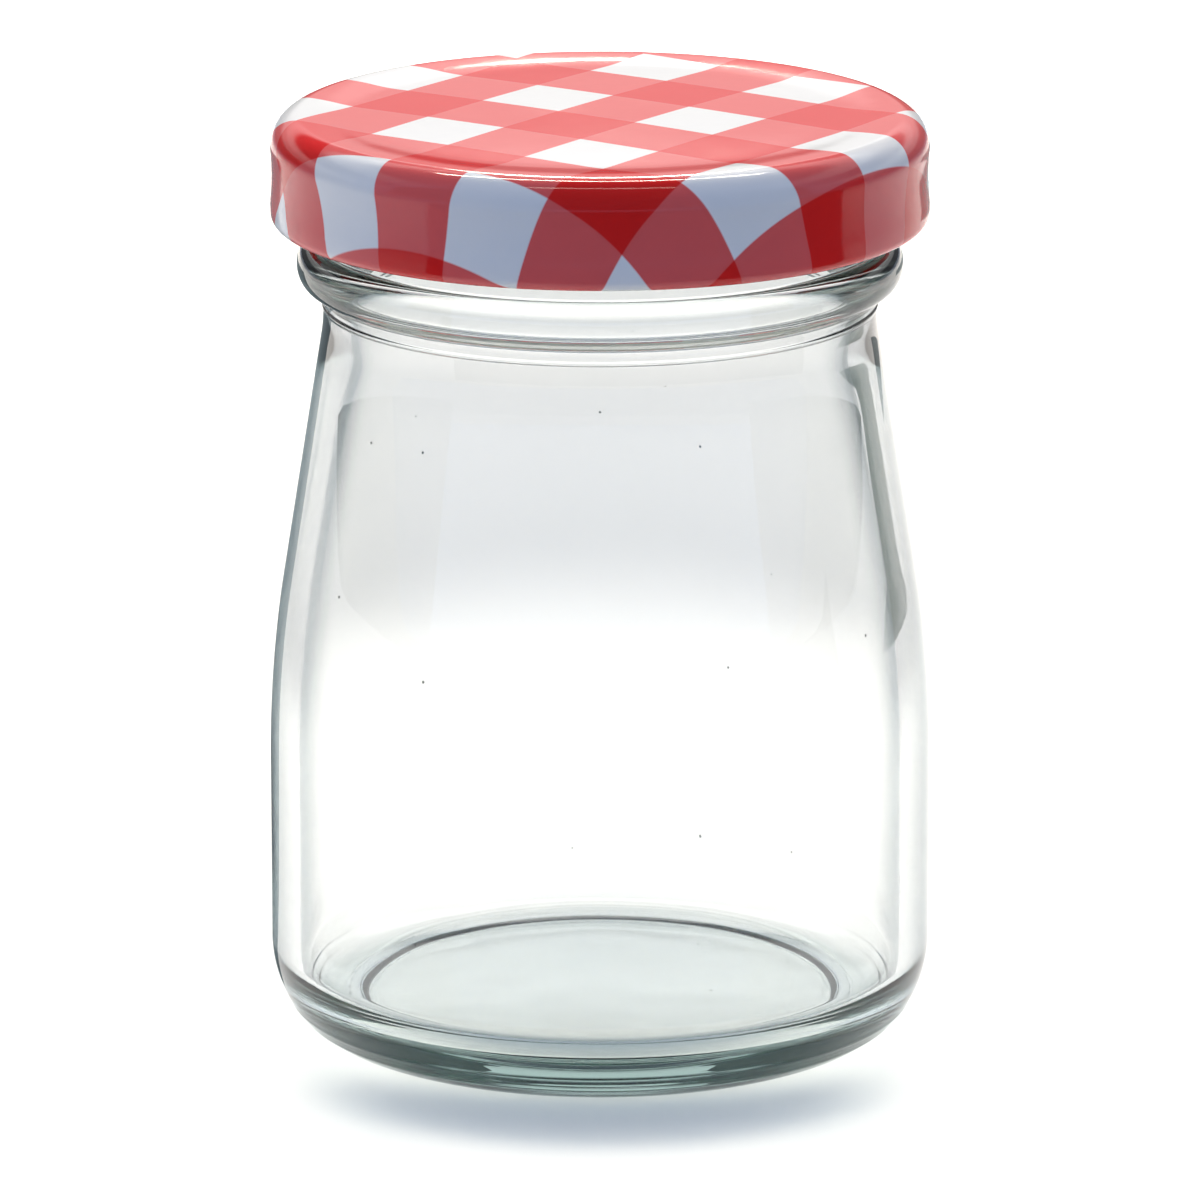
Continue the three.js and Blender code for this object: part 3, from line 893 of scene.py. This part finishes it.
ring_finish, ring_tree, ring_shader, _ = new_finish("grey_ring_paper")
ring_shader.inputs["Roughness"].default_value = PAPER_ROUGHNESS
ring_place = add(ring_tree, "ShaderNodeTexCoord", -640, 0)
ring_reach = add(ring_tree, "ShaderNodeVectorMath", -460, 0, operation="LENGTH")
ring_tone = smooth_step(ring_tree, -280, 0, RING_NEAR, RING_FULL)
ring_colour = blend(ring_tree, -100, 0, TABLE_WHITE, RING_GREY)
ring_tree.links.new(ring_place.outputs["Object"], ring_reach.inputs[0])
ring_tree.links.new(ring_reach.outputs["Value"], ring_tone.inputs["Value"])
ring_tree.links.new(ring_tone.outputs["Result"], ring_colour.inputs["Factor"])
ring_tree.links.new(ring_colour.outputs["Result"], ring_shader.inputs["Base Color"])
seen_through = [set_out(ring_slice(RING_NEAR, RING_FAR, 360), "grey_ring", ring_finish, PAPER_LIFT)]
print("ring from", RING_NEAR, "to", RING_FAR, "m")

# %% Pointed papers and standing cards
RIGHT_BLADE = (
    (34, 0.186), (31, 0.20), (32, 0.23), (33, 0.27), (32, 0.32), (31, 0.80),
    (44, 0.80), (48, 0.32), (54, 0.27), (60, 0.22), (44, 0.196),
)
RIGHT_BLADE_DARK = (0.05, 0.075, 0.07, 1.0)
LEFT_BLADE = ((-28, 0.17), (-31, 0.36), (-31, 0.80), (-26, 0.80), (-26, 0.36))
LEFT_BLADE_GREY = (0.30, 0.33, 0.36, 1.0)
CARD_DARK = (0.02, 0.03, 0.027, 1.0)
SIDE_CARD = ((-0.10, 0.03), (1.60, 0.03), (0.55, 0.30), (-0.10, 0.30))
NECK_CARD = ((-0.01, 0.053), (0.10, 0.053), (0.10, 0.080), (-0.01, 0.080))
CARDS = {
    "card_left": (-0.20, SIDE_CARD),
    "card_right": (0.20, SIDE_CARD),
    "card_neck_left": (-0.06, NECK_CARD),
    "card_neck_right": (0.06, NECK_CARD),
}


def lay_flag(name, outline, colour, shift=0.0):
    """Lay a paper whose corners are degrees right of straight back and metres out, moved sideways."""
    corners = []
    for degrees, reach in outline:
        turn = math.radians(degrees)
        corners.append((math.sin(turn) * reach + shift, math.cos(turn) * reach, 0.0))
    finish = plain_finish(name + "_paper", colour, PAPER_ROUGHNESS)
    return set_out(cut_paper(corners), name, finish, 2 * PAPER_LIFT)


card_finish = plain_finish("dark_card", CARD_DARK, PAPER_ROUGHNESS)
for name, (aside, outline) in CARDS.items():
    card = cut_paper([(aside, back, height) for back, height in outline])
    seen_through.append(set_out(card, name, card_finish))
seen_through.append(lay_flag("flag_right", RIGHT_BLADE, RIGHT_BLADE_DARK))
seen_through.append(lay_flag("flag_left", LEFT_BLADE, LEFT_BLADE_GREY))
for paper in seen_through:
    paper.visible_diffuse = False
    paper.visible_glossy = False
print("seen through the glass:", [paper.name for paper in seen_through])

# %% [markdown]
# ## What the surfaces mirror
# The outer sides of the walls mirror the table beside them, so two grey papers lie there, and a dark
# card in front keeps the lid's shoulder deep red. A dark cloth lies before the jar and keeps the skirt's
# front in shade. It is dark on its upper side alone: light that rises from the table under it passes
# through, so the table stays pale where another view shows it.

# %% Mirrored papers and the front card
LEFT_LANE = ((-8, 0.0), (-8, 0.40), (-30, 0.40))
LEFT_LANE_GREY = (0.10, 0.13, 0.15, 1.0)
RIGHT_LANE = ((8, 0.31), (8, 0.45), (30, 0.45), (30, 0.31))
RIGHT_LANE_GREY = (0.20, 0.23, 0.24, 1.0)
FRONT_CARD = ((-0.60, 0.085), (0.60, 0.085), (0.60, 0.40), (-0.60, 0.40))
FRONT_CARD_AWAY = 0.15

front_card = cut_paper([(across, -FRONT_CARD_AWAY, height) for across, height in FRONT_CARD])
mirrored = [
    set_out(front_card, "card_front", card_finish),
    lay_flag("wedge_right", RIGHT_LANE, RIGHT_LANE_GREY, BODY_RADIUS * MM),
    lay_flag("wedge_left", LEFT_LANE, LEFT_LANE_GREY, -BODY_RADIUS * MM),
]
for paper in mirrored:
    paper.visible_diffuse = False
    paper.visible_transmission = False
print("seen mirrored:", [paper.name for paper in mirrored])

# %% The one-sided cloth
CLOTH_NEAR, CLOTH_FAR, CLOTH_TURN, CLOTH_MIDDLE = 0.12, 1.2, 150, 15
CLOTH_BLACK = (0.02, 0.022, 0.026, 1.0)

cloth_mesh = ring_slice(CLOTH_NEAR, CLOTH_FAR, CLOTH_TURN, CLOTH_MIDDLE)
bmesh.ops.recalc_face_normals(cloth_mesh, faces=cloth_mesh.faces)
if cloth_mesh.faces[:][0].normal.z < 0:
    bmesh.ops.reverse_faces(cloth_mesh, faces=cloth_mesh.faces)
cloth_finish, cloth_tree, cloth_shader, cloth_output = new_finish("dark_cloth")
cloth_shader.inputs["Base Color"].default_value = CLOTH_BLACK
cloth_shader.inputs["Roughness"].default_value = PAPER_ROUGHNESS
cloth_side = add(cloth_tree, "ShaderNodeNewGeometry", 300, 300)
cloth_open = add(cloth_tree, "ShaderNodeBsdfTransparent", 300, -620)
cloth_mix = add(cloth_tree, "ShaderNodeMixShader", 620, 0)
cloth_tree.links.new(cloth_side.outputs["Backfacing"], cloth_mix.inputs["Fac"])
cloth_tree.links.new(cloth_shader.outputs["BSDF"], cloth_mix.inputs[1])
cloth_tree.links.new(cloth_open.outputs["BSDF"], cloth_mix.inputs[2])
cloth_tree.links.new(cloth_mix.outputs["Shader"], cloth_output.inputs["Surface"])
cloth = set_out(cloth_mesh, "front_cloth", cloth_finish, PAPER_LIFT)
cloth.visible_transmission = False
print("cloth over", CLOTH_TURN, "degrees, out to", CLOTH_FAR, "m")

# %% [markdown]
# ## Bounces
# A ray that meets both walls of a jar crosses glass four times and may be mirrored inside the thick
# base, so it needs more bounces than an opaque object. Rays between the table and the room need few.

# %% Settings that the glass needs
scene = bpy.context.scene
scene.view_settings.view_transform = "Standard"
scene.cycles.max_bounces = 14
scene.cycles.transmission_bounces = 12
scene.cycles.glossy_bounces = 10
scene.cycles.diffuse_bounces = 2
scene.cycles.transparent_max_bounces = 8
scene.cycles.caustics_reflective = False
scene.cycles.caustics_refractive = False
scene.cycles.adaptive_threshold = 0.1
scene.cycles.use_denoising = True
print("bounces", scene.cycles.max_bounces)
